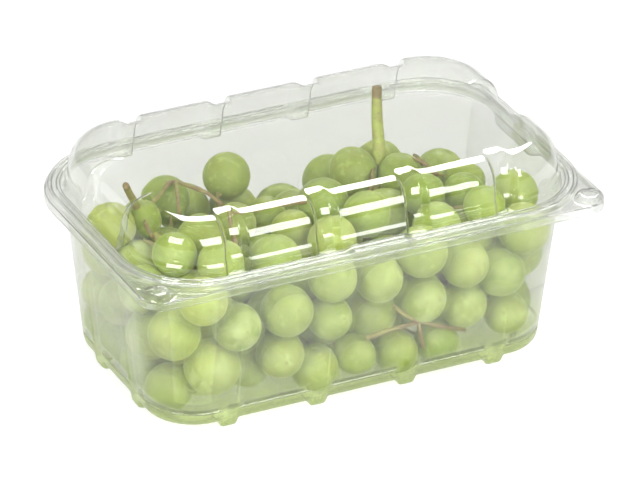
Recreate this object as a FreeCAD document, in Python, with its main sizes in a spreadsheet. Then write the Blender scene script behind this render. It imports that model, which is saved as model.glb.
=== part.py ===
"""Hinged clear punnet holding two bunches of green grapes.

A thermoformed tray with a drafted tub, hollow feet and a beaded rim carries a domed lid of the
same sheet, which folds on a rolled hinge along the rear rim. Two bunches of grapes fill the tub.

Millimetres. Origin at the centre of the footprint, +Z up, front at -Y, hinge at +Y.
"""
import FreeCAD, Part
import itertools
import math
import os
import Sketcher

V = FreeCAD.Vector
TURN = FreeCAD.Rotation

# Driving sizes in millimetres, angles in degrees, read by every feature through the sheet
SIZES = {
    "rim_length": 190.0,
    "rim_width": 119.0,
    "rim_height": 67.4,
    "flange_width": 7.0,
    "body_corner_radius": 27.0,
    "tab_corner_radius": 9.0,
    "sheet_thickness": 0.5,
    "wall_draft": 6.6,
    "floor_edge_radius": 6.0,
    "skirt_depth": 2.7,
    "bead_inset": 2.0,
    "bead_width": 2.8,
    "bead_height": 2.2,
    "nest_clearance": 0.3,
    "bead_clearance": 0.7,
    "dome_height": 20.3,
    "dome_draft": 8.0,
    "dome_edge_radius": 10.0,
    "flute_depth": 4.0,
    "flute_width": 8.0,
    "flute_pitch": 36.7,
    "side_recess_width": 29.0,
    "foot_depth": 2.5,
    "foot_width": 7.0,
    "foot_length": 9.0,
    "side_foot_pitch": 32.0,
    "button_inset": 6.6,
    "button_diameter": 8.6,
    "button_height": 2.0,
    "latch_width": 23.0,
    "latch_inset": 1.5,
    "latch_reach": 4.4,
    "latch_height": 3.2,
    "hinge_radius": 0.8,
    "hinge_length": 112.0,
    "grape_diameter": 20.0,
    "grape_step": 1.5,
    "grape_gap": 0.2,
    "stem_foot_radius": 2.6,
    "stem_tip_radius": 1.7,
    "twig_radius": 1.1,
}

COUNTS = {"feet_along": 4, "feet_across": 2, "flutes": 4}

# Grape sizes, in steps from the driving diameter, and those of the fruit that fills the inside
GRAPE_CLASSES = (-3, -2, -1, 0, 1)
FILL_CLASSES = (-1, 0, 1)

# Grapes that the photograph shows: shares of the half length, half width and rim height, and class
FRONT_GRAPES = (
    (-0.83, -0.55, 0.56, 0), (-0.73, -0.78, 0.82, -1), (-0.57, -0.75, 0.59, -1),
    (-0.33, -0.74, 0.62, 0), (-0.35, -0.71, 0.31, -1), (-0.67, -0.68, 0.31, 1),
    (-0.13, -0.77, 0.76, -1), (-0.13, -0.75, 0.53, -2), (-0.03, -0.72, 0.25, -3),
    (-0.17, -0.68, 0.12, -1), (0.09, -0.77, 0.71, -1), (0.31, -0.72, 0.51, 0),
    (0.29, -0.77, 0.82, 0), (0.51, -0.76, 0.67, -1), (0.52, -0.72, 0.38, -1),
    (0.79, -0.71, 0.77, 0), (0.69, -0.74, 0.56, -1), (0.71, -0.72, 0.31, -2),
    (0.22, -0.72, 0.19, -2), (0.39, -0.71, 0.15, -2), (-0.83, 0.48, 0.4, -1),
)
TOP_GRAPES = (
    (-0.88, 0.27, 0.91, -1), (-0.51, 0.62, 0.85, -1), (-0.53, 0.06, 0.85, -1),
    (-0.68, 0.24, 0.82, -3), (-0.21, 0.68, 0.85, -1), (-0.32, 0.16, 0.88, -2),
    (-0.14, 0.25, 0.79, -3), (-0.11, -0.04, 0.86, -3), (0.07, 0.04, 0.89, 0),
    (0.32, 0.53, 0.85, -1), (0.51, 0.32, 0.89, -2), (0.48, -0.06, 0.89, -2),
    (0.77, 0.17, 0.83, -3), (0.68, -0.11, 0.83, -3), (0.45, -0.47, 0.89, -1),
    (0.66, -0.48, 0.89, -3), (0.87, -0.28, 0.83, -1), (0.19, -0.28, 0.89, -1),
    (-0.76, -0.25, 0.83, -2), (-0.3, -0.41, 0.83, 0), (-0.05, -0.38, 0.83, -1),
    (-0.6, -0.42, 0.86, -1), (-0.5, 0.7, 0.6, 0), (-0.22, 0.72, 0.6, 0),
    (0.3, 0.72, 0.6, 0), (0.54, 0.7, 0.58, 0),
)

# Courses of the fruit behind them: height of each, grapes in a row and rows; place of each row,
# and the height that none of them passes
FILL_COURSES = ((0.19, 7, 4), (0.4, 8, 4), (0.61, 7, 3))
FILL_ROWS = (-0.34, 0.0, 0.34, 0.68)
FILL_CEILING = 0.76
FILL_REACH = 0.84
FILL_STAGGER = 0.5
FILL_JITTER = 3.0

# How the fruit settles: rounds in all, rounds that sink, the first round's fall in mm, and the
# shares of a push that a grape pressed to the front wall or resting on top takes
SETTLE_ROUNDS = 420
SINKING_ROUNDS = 260
FIRST_FALL = 0.25
PRESSED_GIVE = 0.05
RESTING_GIVE = 0.2
NEAR_NOTHING = 1e-6
GOLDEN_STEP = 0.6180339887
ROD_SIDES = 6


class Stem:
    """A bunch's stem: the stalk from its cut tip to its foot, the main stem, and side twigs."""

    def __init__(self, name, tip, foot, end, twigs):
        self.name = name
        self.tip = tip
        self.foot = foot
        self.end = end
        self.twigs = twigs

    def legs(self, sheet):
        """Return (start, end, start radius, end radius) for each straight length, in mm."""
        foot = place(sheet, self.foot)
        tip = place(sheet, self.tip)
        end = place(sheet, self.end)
        runs = [(foot, tip, sheet.stem_foot_radius, sheet.stem_tip_radius),
                (foot, end, sheet.twig_radius, sheet.twig_radius)]
        for root_share, twig_end in self.twigs:
            root = foot + (end - foot) * root_share
            runs.append((root, place(sheet, twig_end), sheet.twig_radius, sheet.twig_radius))
        return runs


# Places are shares of the half length, the half width and the height of the rim
STEMS = (
    Stem("right_bunch_stem", (0.485, 0.63, 1.25), (0.47, 0.5, 0.72), (0.2, -0.05, 0.3),
         ((0.3, (0.75, 0.1, 0.6)), (0.75, (0.55, -0.35, 0.35)))),
    Stem("left_bunch_stem", (-0.82, 0.15, 1.17), (-0.68, 0.1, 0.8), (-0.3, -0.05, 0.3),
         ((0.3, (-0.35, 0.4, 0.72)), (0.7, (-0.72, -0.3, 0.35)))),
)


def driving_sheet(doc):
    """Write the driving sizes into a spreadsheet, one alias a row."""
    sheet = doc.addObject("Spreadsheet::Sheet", "Sizes")
    for row, (alias, size) in enumerate({**SIZES, **COUNTS}.items(), start=1):
        sheet.set(f"A{row}", alias)
        sheet.set(f"B{row}", str(size))
        sheet.setAlias(f"B{row}", alias)
    doc.recompute()
    return sheet


def bind(obj, **expressions):
    """Tie properties of an object to expressions on the sheet."""
    for prop, text in expressions.items():
        obj.setExpression(prop.replace("__", "."), text)


def role_plane(body, role):
    """Return the body's own origin plane with this role."""
    return next(f for f in body.Origin.OriginFeatures if f.Role == role)


def place(sheet, shares):
    """Turn shares of half length, half width and rim height into a point inside the tub."""
    along, across, up = shares
    half_length = sheet.rim_length / 2 - sheet.flange_width
    half_width = sheet.rim_width / 2 - sheet.flange_width
    return V(along * half_length, across * half_width, up * sheet.rim_height)


def add_outline(sketch, prefix, length, width, front_radius, rear_radius):
    """Draw one rounded rectangle about the origin, its sizes tied to expressions."""
    first = sketch.GeometryCount
    half_x, half_y, front, rear = 50.0, 30.0, 8.0, 12.0

    def arc(x, y, radius, start):
        circle = Part.Circle(V(x, y, 0), V(0, 0, 1), radius)
        return Part.ArcOfCircle(circle, start, start + math.pi / 2)

    right, left = half_x, -half_x
    sketch.addGeometry([
        Part.LineSegment(V(left + front, -half_y, 0), V(right - front, -half_y, 0)),
        arc(right - front, front - half_y, front, -math.pi / 2),
        Part.LineSegment(V(right, front - half_y, 0), V(right, half_y - rear, 0)),
        arc(right - rear, half_y - rear, rear, 0),
        Part.LineSegment(V(right - rear, half_y, 0), V(left + rear, half_y, 0)),
        arc(left + rear, half_y - rear, rear, math.pi / 2),
        Part.LineSegment(V(left, half_y - rear, 0), V(left, front - half_y, 0)),
        arc(left + front, front - half_y, front, math.pi),
    ], False)
    for step in range(8):
        sketch.addConstraint(
            Sketcher.Constraint("Tangent", first + step, 2, first + (step + 1) % 8, 1))
    for step, way in ((0, "Horizontal"), (4, "Horizontal"), (2, "Vertical"), (6, "Vertical")):
        sketch.addConstraint(Sketcher.Constraint(way, first + step))
    sketch.addConstraint(Sketcher.Constraint("Equal", first + 1, first + 7))
    sketch.addConstraint(Sketcher.Constraint("Equal", first + 3, first + 5))
    drivers = (
        ("front_radius", front_radius, ("Radius", first + 1, front)),
        ("rear_radius", rear_radius, ("Radius", first + 3, rear)),
        ("length", length, ("DistanceX", first + 6, 1, first + 2, 1, 2 * half_x)),
        ("width", width, ("DistanceY", first, 1, first + 4, 1, 2 * half_y)),
        ("half_length", f"({length}) / 2", ("DistanceX", first + 6, 1, -1, 1, half_x)),
        ("half_width", f"({width}) / 2", ("DistanceY", first, 1, -1, 1, half_y)),
    )
    for name, expression, terms in drivers:
        index = sketch.addConstraint(Sketcher.Constraint(*terms))
        sketch.renameConstraint(index, f"{prefix}_{name}")
        sketch.setExpression(f"Constraints.{prefix}_{name}", expression)


def flat_sketch(body, name, level):
    """Make a sketch on the body's XY plane, raised to a level given by an expression."""
    sketch = body.newObject("Sketcher::SketchObject", name)
    sketch.AttachmentSupport = [(role_plane(body, "XY_Plane"), "")]
    sketch.MapMode = "FlatFace"
    sketch.setExpression("AttachmentOffset.Base.z", level)
    return sketch


def offset_outline(sketch, prefix, grow, front_radius=None):
    """Draw the tub's mouth outline, grown outwards by an expression."""
    radius = f"Sizes.body_corner_radius + ({grow})"
    add_outline(
        sketch, prefix,
        f"Sizes.rim_length - 2 * Sizes.flange_width + 2 * ({grow})",
        f"Sizes.rim_width - 2 * Sizes.flange_width + 2 * ({grow})",
        front_radius or radius, radius)


def block(doc, name, grow, level, depth, taper="0", down=False, front_radius=None):
    """Pad the tub's outline, grown by an expression, with drafted sides."""
    body = doc.addObject("PartDesign::Body", name)
    sketch = flat_sketch(body, name + "_outline", level)
    offset_outline(sketch, "edge", grow, front_radius)
    pad = body.newObject("PartDesign::Pad", name + "_pad")
    pad.Profile = sketch
    pad.Reversed = down
    bind(pad, Length=depth, TaperAngle=taper)
    sketch.Visibility = False
    return body


def ring(doc, name, outer, inner, level, depth, down=False, front_radii=(None, None)):
    """Pad the band between two outlines that follow the tub's mouth."""
    body = doc.addObject("PartDesign::Body", name)
    sketch = flat_sketch(body, name + "_outline", level)
    offset_outline(sketch, "outer", outer, front_radii[0])
    offset_outline(sketch, "inner", inner, front_radii[1])
    pad = body.newObject("PartDesign::Pad", name + "_pad")
    pad.Profile = sketch
    pad.Reversed = down
    bind(pad, Length=depth)
    return body


def banded_block(doc, name, grow, level, height, draft, rounding, down=False):
    """Stack a drafted wall and two flatter bands, all three tangent to the far edge's rounding."""
    turn = f"(90 - {draft}) / 3"
    run = f"2 * ({rounding}) * tan({turn} / 2)"
    slopes = (draft, f"({draft} + {turn})", f"({draft} + 2 * {turn})")
    rises = [f"({height} - {run} * (cos({slopes[1]}) + cos({slopes[2]})))",
             f"({run} * cos({slopes[1]}))", f"({run} * cos({slopes[2]}))"]
    way = "-" if down else "+"
    tiers = []
    for tier, (slope, rise) in enumerate(zip(slopes, rises)):
        tiers.append(block(doc, f"{name}_tier_{tier}", grow, level, rise, f"-{slope}", down))
        grow = f"{grow} - {rise} * tan({slope})"
        level = f"{level} {way} {rise}"
    return fused(doc, name, tiers)


def fused(doc, name, pieces):
    """Join pieces into one solid."""
    union = doc.addObject("Part::MultiFuse", name)
    union.Shapes = pieces
    union.Refine = True
    return union


def cut(doc, name, base, tool):
    """Take the tool away from the base."""
    difference = doc.addObject("Part::Cut", name)
    difference.Base = base
    difference.Tool = tool
    difference.Refine = True
    return difference


def box(doc, name, size, corner):
    """Make a box whose size and corner are three expressions each."""
    piece = doc.addObject("Part::Box", name)
    bind(piece, Length=size[0], Width=size[1], Height=size[2])
    bind(piece, Placement__Base__x=corner[0], Placement__Base__y=corner[1],
         Placement__Base__z=corner[2])
    return piece


def add_rectangle(sketch, left, low, length, width):
    """Draw a rectangle that starts left of and below the origin by two expressions."""
    corners = [V(-9, -8, 0), V(-3, -8, 0), V(-3, -5, 0), V(-9, -5, 0)]
    sketch.addGeometry(
        [Part.LineSegment(corners[i], corners[(i + 1) % 4]) for i in range(4)], False)
    for side in range(4):
        sketch.addConstraint(Sketcher.Constraint("Coincident", side, 2, (side + 1) % 4, 1))
        sketch.addConstraint(
            Sketcher.Constraint("Horizontal" if side % 2 == 0 else "Vertical", side))
    drivers = (
        ("left", left, ("DistanceX", 0, 1, -1, 1, 9.0)),
        ("low", low, ("DistanceY", 0, 1, -1, 1, 8.0)),
        ("length", length, ("DistanceX", 0, 1, 0, 2, 6.0)),
        ("width", width, ("DistanceY", 1, 1, 1, 2, 3.0)),
    )
    for name, expression, terms in drivers:
        index = sketch.addConstraint(Sketcher.Constraint(*terms))
        sketch.renameConstraint(index, name)
        sketch.setExpression(f"Constraints.{name}", expression)


def rectangle_block(doc, name, corner, size, level, depth, down=False):
    """Pad a rectangle, given by its distances left of and below the origin and its two sides."""
    body = doc.addObject("PartDesign::Body", name)
    sketch = flat_sketch(body, name + "_outline", level)
    add_rectangle(sketch, *corner, *size)
    pad = body.newObject("PartDesign::Pad", name + "_pad")
    pad.Profile = sketch
    pad.Reversed = down
    bind(pad, Length=depth)
    return body


def foot_row(doc, name, inset, along):
    """Make the feet under one pair of opposite sides: a drafted foot, its row and their mirror."""
    top = "Sizes.foot_depth + Sizes.floor_edge_radius"
    side, pitch, count = (
        ("Sizes.rim_width", "Sizes.flute_pitch", "Sizes.feet_along") if along else
        ("Sizes.rim_length", "Sizes.side_foot_pitch", "Sizes.feet_across"))
    fall = "(Sizes.rim_height - Sizes.foot_depth) * tan(Sizes.wall_draft)"
    reach = f"{side} / 2 - Sizes.flange_width - {fall} - ({inset})"
    start = f"{pitch} * ({count} - 1) / 2 + Sizes.foot_width / 2 - ({inset})"
    wide = f"Sizes.foot_width - 2 * ({inset})"
    deep = f"Sizes.foot_length - 2 * ({inset})"
    corner, size = ((start, reach), (wide, deep)) if along else ((reach, start), (deep, wide))
    body = rectangle_block(doc, name, corner, size, top, f"{top} - ({inset})", down=True)
    pad = body.Tip
    row = body.newObject("PartDesign::LinearPattern", name + "_row")
    row.Direction = (role_plane(body, "X_Axis" if along else "Y_Axis"), [""])
    bind(row, Length=f"{pitch} * ({count} - 1)", Occurrences=count)
    pair = body.newObject("PartDesign::Mirrored", name + "_pair")
    pair.MirrorPlane = (role_plane(body, "XZ_Plane" if along else "YZ_Plane"), [""])
    pattern = body.newObject("PartDesign::MultiTransform", name + "_pattern")
    pattern.Originals = [pad]
    pattern.Transformations = [row, pair]
    body.Tip = pattern
    return body


def tub_solid(doc, name, inset):
    """Make the drafted, round-edged block of the tub with its feet, drawn in by an inset."""
    tub = banded_block(
        doc, name + "_tub", f"-({inset})", "Sizes.rim_height",
        f"Sizes.rim_height - Sizes.foot_depth - ({inset})", "Sizes.wall_draft",
        f"Sizes.floor_edge_radius - ({inset})", down=True)
    feet = [foot_row(doc, name + "_long_feet", inset, True),
            foot_row(doc, name + "_short_feet", inset, False)]
    return fused(doc, name, [tub] + feet)


def buttons(doc, name, grow, level, depth):
    """Make the pair of snap buttons on the front corner tabs."""
    pair = []
    for side, sign in (("left", "-"), ("right", "")):
        button = doc.addObject("Part::Cylinder", f"{name}_{side}")
        bind(button, Radius=f"Sizes.button_diameter / 2 + ({grow})", Height=depth,
             Placement__Base__x=f"{sign}(Sizes.rim_length / 2 - Sizes.button_inset)",
             Placement__Base__y="-(Sizes.rim_width / 2 - Sizes.button_inset)",
             Placement__Base__z=level)
        pair.append(button)
    return pair


def raised_forms(doc, name, grow, bead_grow, level, depth_extra):
    """Make the bead, latch and buttons of the rim, grown all round by expressions."""
    bead = ring(doc, name + "_bead", f"Sizes.bead_inset + Sizes.bead_width + ({bead_grow})",
                f"Sizes.bead_inset - ({bead_grow})", level,
                f"Sizes.bead_height + ({depth_extra})")
    mouth = "Sizes.rim_width / 2 - Sizes.flange_width"
    latch = box(
        doc, name + "_latch",
        (f"Sizes.latch_width + 2 * ({grow})", f"Sizes.latch_reach + 2 * ({grow})",
         f"Sizes.latch_height + ({depth_extra})"),
        (f"-Sizes.latch_width / 2 - ({grow})",
         f"-({mouth} + Sizes.latch_inset + Sizes.latch_reach + ({grow}))", level))
    pair = buttons(doc, name + "_button", grow, level, f"Sizes.button_height + ({depth_extra})")
    return [bead, latch] + pair


def make_tray(doc):
    """Make the tray: tub, flange, skirt and the raised forms that the lid snaps over."""
    flange_level = "Sizes.rim_height - Sizes.sheet_thickness"
    tab = "Sizes.tab_corner_radius"
    flange = ring(doc, "tray_flange", "Sizes.flange_width", "-Sizes.sheet_thickness",
                  flange_level, "Sizes.sheet_thickness", front_radii=(tab, None))
    skirt = ring(doc, "tray_skirt", "Sizes.flange_width",
                 "Sizes.flange_width - Sizes.sheet_thickness", "Sizes.rim_height",
                 "Sizes.skirt_depth", down=True,
                 front_radii=(tab, f"{tab} - Sizes.sheet_thickness"))
    outside = fused(doc, "tray_outside", [tub_solid(doc, "tub_outside", "0"), flange, skirt]
                    + raised_forms(doc, "tray_form", "0", "0", flange_level,
                                   "Sizes.sheet_thickness"))
    inside = fused(doc, "tray_inside", [tub_solid(doc, "tub_inside", "Sizes.sheet_thickness")]
                   + raised_forms(doc, "tray_hollow", "-Sizes.sheet_thickness",
                                  "-Sizes.sheet_thickness", flange_level, "0"))
    tray = cut(doc, "tray_shell", outside, inside)
    tray.Label = "tray"
    return tray


def dome(doc, name, inset):
    """Make the fluted dome: a low core, with barrels standing out from it between the flutes."""
    level = "Sizes.rim_height + Sizes.nest_clearance"
    shape = (f"Sizes.dome_height - ({inset})", "Sizes.dome_draft",
             f"Sizes.dome_edge_radius - ({inset})")
    core = banded_block(doc, name + "_core", f"-({inset}) - Sizes.flute_depth", level, *shape)
    barrels = banded_block(doc, name + "_barrels", f"-({inset})", level, *shape)
    slot = f"Sizes.flute_width + 2 * ({inset})"
    first = f"-Sizes.flute_pitch * (Sizes.flutes - 1) / 2 - ({slot}) / 2"
    flutes = [box(doc, f"{name}_flute_{step}", (slot, "Sizes.rim_width", "Sizes.dome_height"),
                  (f"{first} + {step} * Sizes.flute_pitch", "-Sizes.rim_width / 2", level))
              for step in range(int(doc.Sizes.flutes))]
    recess_width = f"Sizes.side_recess_width + 2 * ({inset})"
    recess = box(doc, name + "_recess", ("Sizes.rim_length", recess_width, "Sizes.dome_height"),
                 ("-Sizes.rim_length / 2", f"-({recess_width}) / 2", level))
    standing = cut(doc, name + "_standing", barrels, fused(doc, name + "_slots", flutes + [recess]))
    return fused(doc, name, [core, standing])


def hinge_roll(doc):
    """Make the lid's rolled rear edge, about which it folds, and the web that carries it."""
    axis_y = "Sizes.rim_width / 2 + Sizes.nest_clearance + Sizes.hinge_radius"
    roll = doc.addObject("Part::Cylinder", "hinge_roll")
    roll.Placement = FreeCAD.Placement(V(), TURN(V(0, 1, 0), 90))
    bind(roll, Radius="Sizes.hinge_radius", Height="Sizes.hinge_length",
         Placement__Base__x="-Sizes.hinge_length / 2", Placement__Base__y=axis_y,
         Placement__Base__z="Sizes.rim_height + Sizes.nest_clearance / 2")
    web = box(doc, "hinge_web",
              ("Sizes.hinge_length",
               "Sizes.sheet_thickness + Sizes.nest_clearance + Sizes.hinge_radius",
               "Sizes.sheet_thickness"),
              ("-Sizes.hinge_length / 2", "Sizes.rim_width / 2 - Sizes.sheet_thickness",
               "Sizes.rim_height + Sizes.nest_clearance"))
    return [roll, web]


def make_lid(doc):
    """Make the lid: fluted dome, flange, and hollow forms that nest over the tray's."""
    level = "Sizes.rim_height + Sizes.nest_clearance"
    skin = "Sizes.nest_clearance + Sizes.sheet_thickness"
    bead_skin = "Sizes.bead_clearance + Sizes.sheet_thickness"
    flange = ring(doc, "lid_flange", "Sizes.flange_width",
                  "-Sizes.flute_depth - Sizes.sheet_thickness", level, "Sizes.sheet_thickness",
                  front_radii=("Sizes.tab_corner_radius", None))
    outside = fused(doc, "lid_outside", [dome(doc, "dome_outside", "0"), flange]
                    + hinge_roll(doc)
                    + raised_forms(doc, "lid_form", skin, bead_skin, level,
                                   "Sizes.sheet_thickness"))
    inside = fused(doc, "lid_inside", [dome(doc, "dome_inside", "Sizes.sheet_thickness")]
                   + raised_forms(doc, "lid_hollow", "Sizes.nest_clearance",
                                  "Sizes.bead_clearance", level, "0"))
    lid = cut(doc, "lid_shell", outside, inside)
    lid.Label = "lid"
    return lid


class Ball:
    """A grape's place, turn, size and share of each push while the fruit settles."""

    def __init__(self, sheet, at, size_class, turn, give, fine):
        self.at = at
        self.radius = grape_radius(sheet, size_class)
        self.size_class = size_class
        self.turn = turn
        self.unturn = turn.inverted()
        self.give = give
        self.fine = fine

    def reach(self, direction):
        """Return how far the faceted grape stands out along a unit direction, in mm."""
        first, second, third = sorted((abs(c) for c in self.unturn.multVec(direction)), reverse=True)
        edge = (first + second) / math.sqrt(2) if self.fine else 0
        return self.radius * max(first, edge, (first + second + third) / math.sqrt(3))


def spread(index):
    """Return an even scatter in 0..1 that never repeats, by golden-ratio steps."""
    return (index * GOLDEN_STEP) % 1.0


def tumble(index):
    """Return a turn of its own for each grape."""
    return TURN(*(spread(index * step) * 180 for step in (1, 2, 5)))


def grape_radius(sheet, size_class):
    """Return a size class's radius in mm."""
    return (sheet.grape_diameter + size_class * sheet.grape_step) / 2


def fill_places(sheet):
    """Return the places of the fruit that fills the inside, in staggered, uneven courses."""
    places = []
    rows = itertools.product(enumerate(FILL_COURSES), enumerate(FILL_ROWS))
    for (course, (up, columns, depth)), (row, across) in rows:
        if row == depth:
            continue
        shift = FILL_STAGGER * ((row + course) % 2 - FILL_STAGGER)
        middle = (columns - 1) / 2
        for column in range(columns):
            along = FILL_REACH * (column + shift - middle) / middle
            index = len(places)
            uneven = V(*(spread(index * step) - 0.5 for step in (3, 7, 11)))
            places.append(place(sheet, (along, across, up)) + uneven * FILL_JITTER)
    return places


def seed_balls(sheet):
    """Lay out the grapes that the photograph shows, and the fruit behind and below them."""
    balls = []
    for table, give in ((FRONT_GRAPES, PRESSED_GIVE), (TOP_GRAPES, RESTING_GIVE)):
        for *shares, size_class in table:
            balls.append(Ball(sheet, place(sheet, shares), size_class, tumble(len(balls)), give,
                              fine=True))
    for at in fill_places(sheet):
        index = len(balls)
        size_class = FILL_CLASSES[int(spread(index) * len(FILL_CLASSES))]
        balls.append(Ball(sheet, at, size_class, tumble(index), 1, fine=False))
    return balls


def keep_inside(sheet, ball):
    """Move a ball back inside the walls and above the floor of the tub, or inside the lid."""
    gap = sheet.grape_gap
    reach = ball.radius + gap
    rise = ball.at.z - sheet.rim_height
    if rise <= 0:
        drawn_in = -rise * math.tan(math.radians(sheet.wall_draft))
    else:
        drawn_in = sheet.flute_depth + rise * math.tan(math.radians(sheet.dome_draft))
    drawn_in += sheet.flange_width + sheet.sheet_thickness + reach
    half_x = sheet.rim_length / 2 - drawn_in
    half_y = sheet.rim_width / 2 - drawn_in
    corner = max(sheet.body_corner_radius + sheet.flange_width - drawn_in, 1.0)
    over_x = abs(ball.at.x) - (half_x - corner)
    over_y = abs(ball.at.y) - (half_y - corner)
    if over_x > 0 and over_y > 0 and math.hypot(over_x, over_y) > corner:
        share = corner / math.hypot(over_x, over_y)
        ball.at.x = math.copysign(half_x - corner + over_x * share, ball.at.x)
        ball.at.y = math.copysign(half_y - corner + over_y * share, ball.at.y)
    ball.at.x = max(-half_x, min(half_x, ball.at.x))
    ball.at.y = max(-half_y, min(half_y, ball.at.y))
    if not ball.fine:
        ball.at.z = min(FILL_CEILING * sheet.rim_height, ball.at.z)
    floor = sheet.foot_depth + sheet.sheet_thickness + gap
    ball.at.z = max(floor + ball.reach(V(0, 0, -1)), ball.at.z)


def stem_beads(sheet):
    """Return (centre, radius) beads along every stem, which the grapes settle around."""
    beads = []
    for stem in STEMS:
        for start, end, start_radius, end_radius in stem.legs(sheet):
            count = max(2, math.ceil((end - start).Length / start_radius))
            for step in range(count + 1):
                share = step / count
                radius = start_radius + (end_radius - start_radius) * share
                beads.append((start + (end - start) * share, radius + sheet.grape_gap))
    return beads


def part_pair(first, second, gap):
    """Push two balls apart to their gap, each by its share."""
    apart = second.at - first.at
    widest = first.radius + second.radius + gap
    if max(abs(apart.x), abs(apart.y), abs(apart.z)) >= widest:
        return
    distance = apart.Length
    if distance < widest:
        way = apart / max(distance, NEAR_NOTHING)
        lack = first.reach(way) + second.reach(-way) + gap - distance
        if lack > 0:
            share = first.give / (first.give + second.give)
            first.at -= way * (lack * share)
            second.at += way * (lack * (1 - share))


def clear_beads(ball, beads):
    """Push a ball off every bead that it touches."""
    for centre, radius in beads:
        away = ball.at - centre
        if away.Length < ball.radius + radius:
            way = away / max(away.Length, NEAR_NOTHING)
            ball.at = centre + way * max(away.Length, ball.reach(-way) + radius)


def settle(sheet):
    """Let the grapes sink and push each other apart until none touches another."""
    balls = seed_balls(sheet)
    beads = stem_beads(sheet)
    for step in range(SETTLE_ROUNDS):
        fall = FIRST_FALL * max(0, 1 - step / SINKING_ROUNDS)
        for index, first in enumerate(balls):
            first.at.z -= fall * first.give
            for second in balls[index + 1:]:
                part_pair(first, second, sheet.grape_gap)
            clear_beads(first, beads)
            keep_inside(sheet, first)
    return balls


def grape_form(doc, sheet, size_class, fine):
    """Make one size of grape: facets over a cube's corners and faces, and a fine one's edges."""
    radius = grape_radius(sheet, size_class)
    facets = []
    for signs in itertools.product((-1, 1), repeat=3):
        axes = [V(signs[0], 0, 0), V(0, signs[1], 0), V(0, 0, signs[2])]
        for first, second, third in itertools.permutations(axes):
            corner = first + second + third
            if fine:
                corners = [first, first + second, corner]
            elif signs[axes.index(third)] > 0:
                corners = [first, corner, corner - third * 2]
            else:
                continue
            points = [V(end).normalize() * radius for end in corners]
            facets.append(Part.Face(Part.makePolygon(points + points[:1])))
    name = "fine" if fine else "plain"
    grape = doc.addObject("Part::Feature", f"{name}_grape_{GRAPE_CLASSES.index(size_class)}")
    grape.Shape = Part.Solid(Part.makeShell(facets))
    if grape.Shape.Volume < 0:
        grape.Shape = grape.Shape.reversed()
    return grape


def make_bunches(doc, sheet, balls):
    """Place the grapes as two bunches, the left and the right half of the fruit."""
    kinds = {(ball.size_class, ball.fine) for ball in balls}
    forms = {kind: grape_form(doc, sheet, *kind) for kind in sorted(kinds)}
    halves = {"left_bunch_grapes": [], "right_bunch_grapes": []}
    for index, ball in enumerate(balls):
        side = "left_bunch_grapes" if ball.at.x < 0 else "right_bunch_grapes"
        link = doc.addObject("App::Link", f"placed_grape_{index}")
        link.LinkedObject = forms[ball.size_class, ball.fine]
        link.Placement = FreeCAD.Placement(ball.at, ball.turn)
        halves[side].append(link)
    nodes = []
    for name, links in halves.items():
        bunch = doc.addObject("Part::Compound", name + "_group")
        bunch.Links = links
        bunch.Label = name
        nodes.append(bunch)
    return nodes


def make_rod(doc, name, start, end, radii):
    """Make a six-sided rod between two points, lofted if its radii differ, tied to expressions."""
    turn = TURN(V(0, 0, 1), end - start)
    if radii[0] == radii[1]:
        rod = doc.addObject("Part::Prism", name)
        rod.Polygon = ROD_SIDES
        rod.Height = (end - start).Length
        rod.Placement = FreeCAD.Placement(start, turn)
        bind(rod, Circumradius=radii[0])
        return rod
    rings = []
    for at, radius, place_name in ((start, radii[0], "start"), (end, radii[1], "end")):
        polygon = doc.addObject("Part::RegularPolygon", f"{name}_{place_name}")
        polygon.Polygon = ROD_SIDES
        polygon.Placement = FreeCAD.Placement(at, turn)
        bind(polygon, Circumradius=radius)
        rings.append(polygon)
    rod = doc.addObject("Part::Loft", name)
    rod.Sections = rings
    rod.Solid = True
    rod.Ruled = True
    return rod


def make_stem(doc, stem, sheet):
    """Make a bunch's stem from rods joined where they branch."""
    rods = []
    for leg, (start, end, *_) in enumerate(stem.legs(sheet)):
        radii = (("Sizes.stem_foot_radius", "Sizes.stem_tip_radius") if leg == 0 else
                 ("Sizes.twig_radius", "Sizes.twig_radius"))
        rods.append(make_rod(doc, f"{stem.name}_leg_{leg}", start, end, radii))
    whole = fused(doc, stem.name + "_joined", rods)
    whole.Label = stem.name
    return whole


def check_document(doc, nodes):
    """Stop if any object failed, or any node's shape is empty or not valid."""
    for obj in doc.Objects:
        if "Invalid" in obj.State or "Error" in obj.State:
            raise RuntimeError(f"{obj.Name} failed: {obj.State}")
    for node in nodes:
        if node.Shape.isNull() or not node.Shape.isValid():
            raise RuntimeError(f"{node.Label} has no valid shape")


def main():
    """Build the document and write one STEP file for each node."""
    doc = FreeCAD.newDocument("punnet")
    sheet = driving_sheet(doc)
    nodes = [make_tray(doc), make_lid(doc)]
    nodes += make_bunches(doc, sheet, settle(sheet))
    nodes += [make_stem(doc, stem, sheet) for stem in STEMS]
    doc.recompute()
    check_document(doc, nodes)
    os.makedirs("parts", exist_ok=True)
    for node in nodes:
        node.Shape.exportStep(f"parts/{node.Label}.step")
        print(node.Label, len(node.Shape.Solids), "solids", round(node.Shape.Volume), "mm3")


main()
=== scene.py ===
"""Clear hinged fruit punnet with two bunches of green grapes, seen in a white studio.

The thermoformed tray and lid are thin clear shells worked out as profiles carried round a rounded
rectangle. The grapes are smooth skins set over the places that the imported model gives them, and
the stems are swept tubes. Shapes are worked out in mm and made in metres. The front is at -Y and
the hinge at +Y.
"""
import logging
import math
from dataclasses import dataclass, field
from enum import Enum
from typing import Sequence

import bpy
import numpy as np
from mathutils import Matrix


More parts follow.
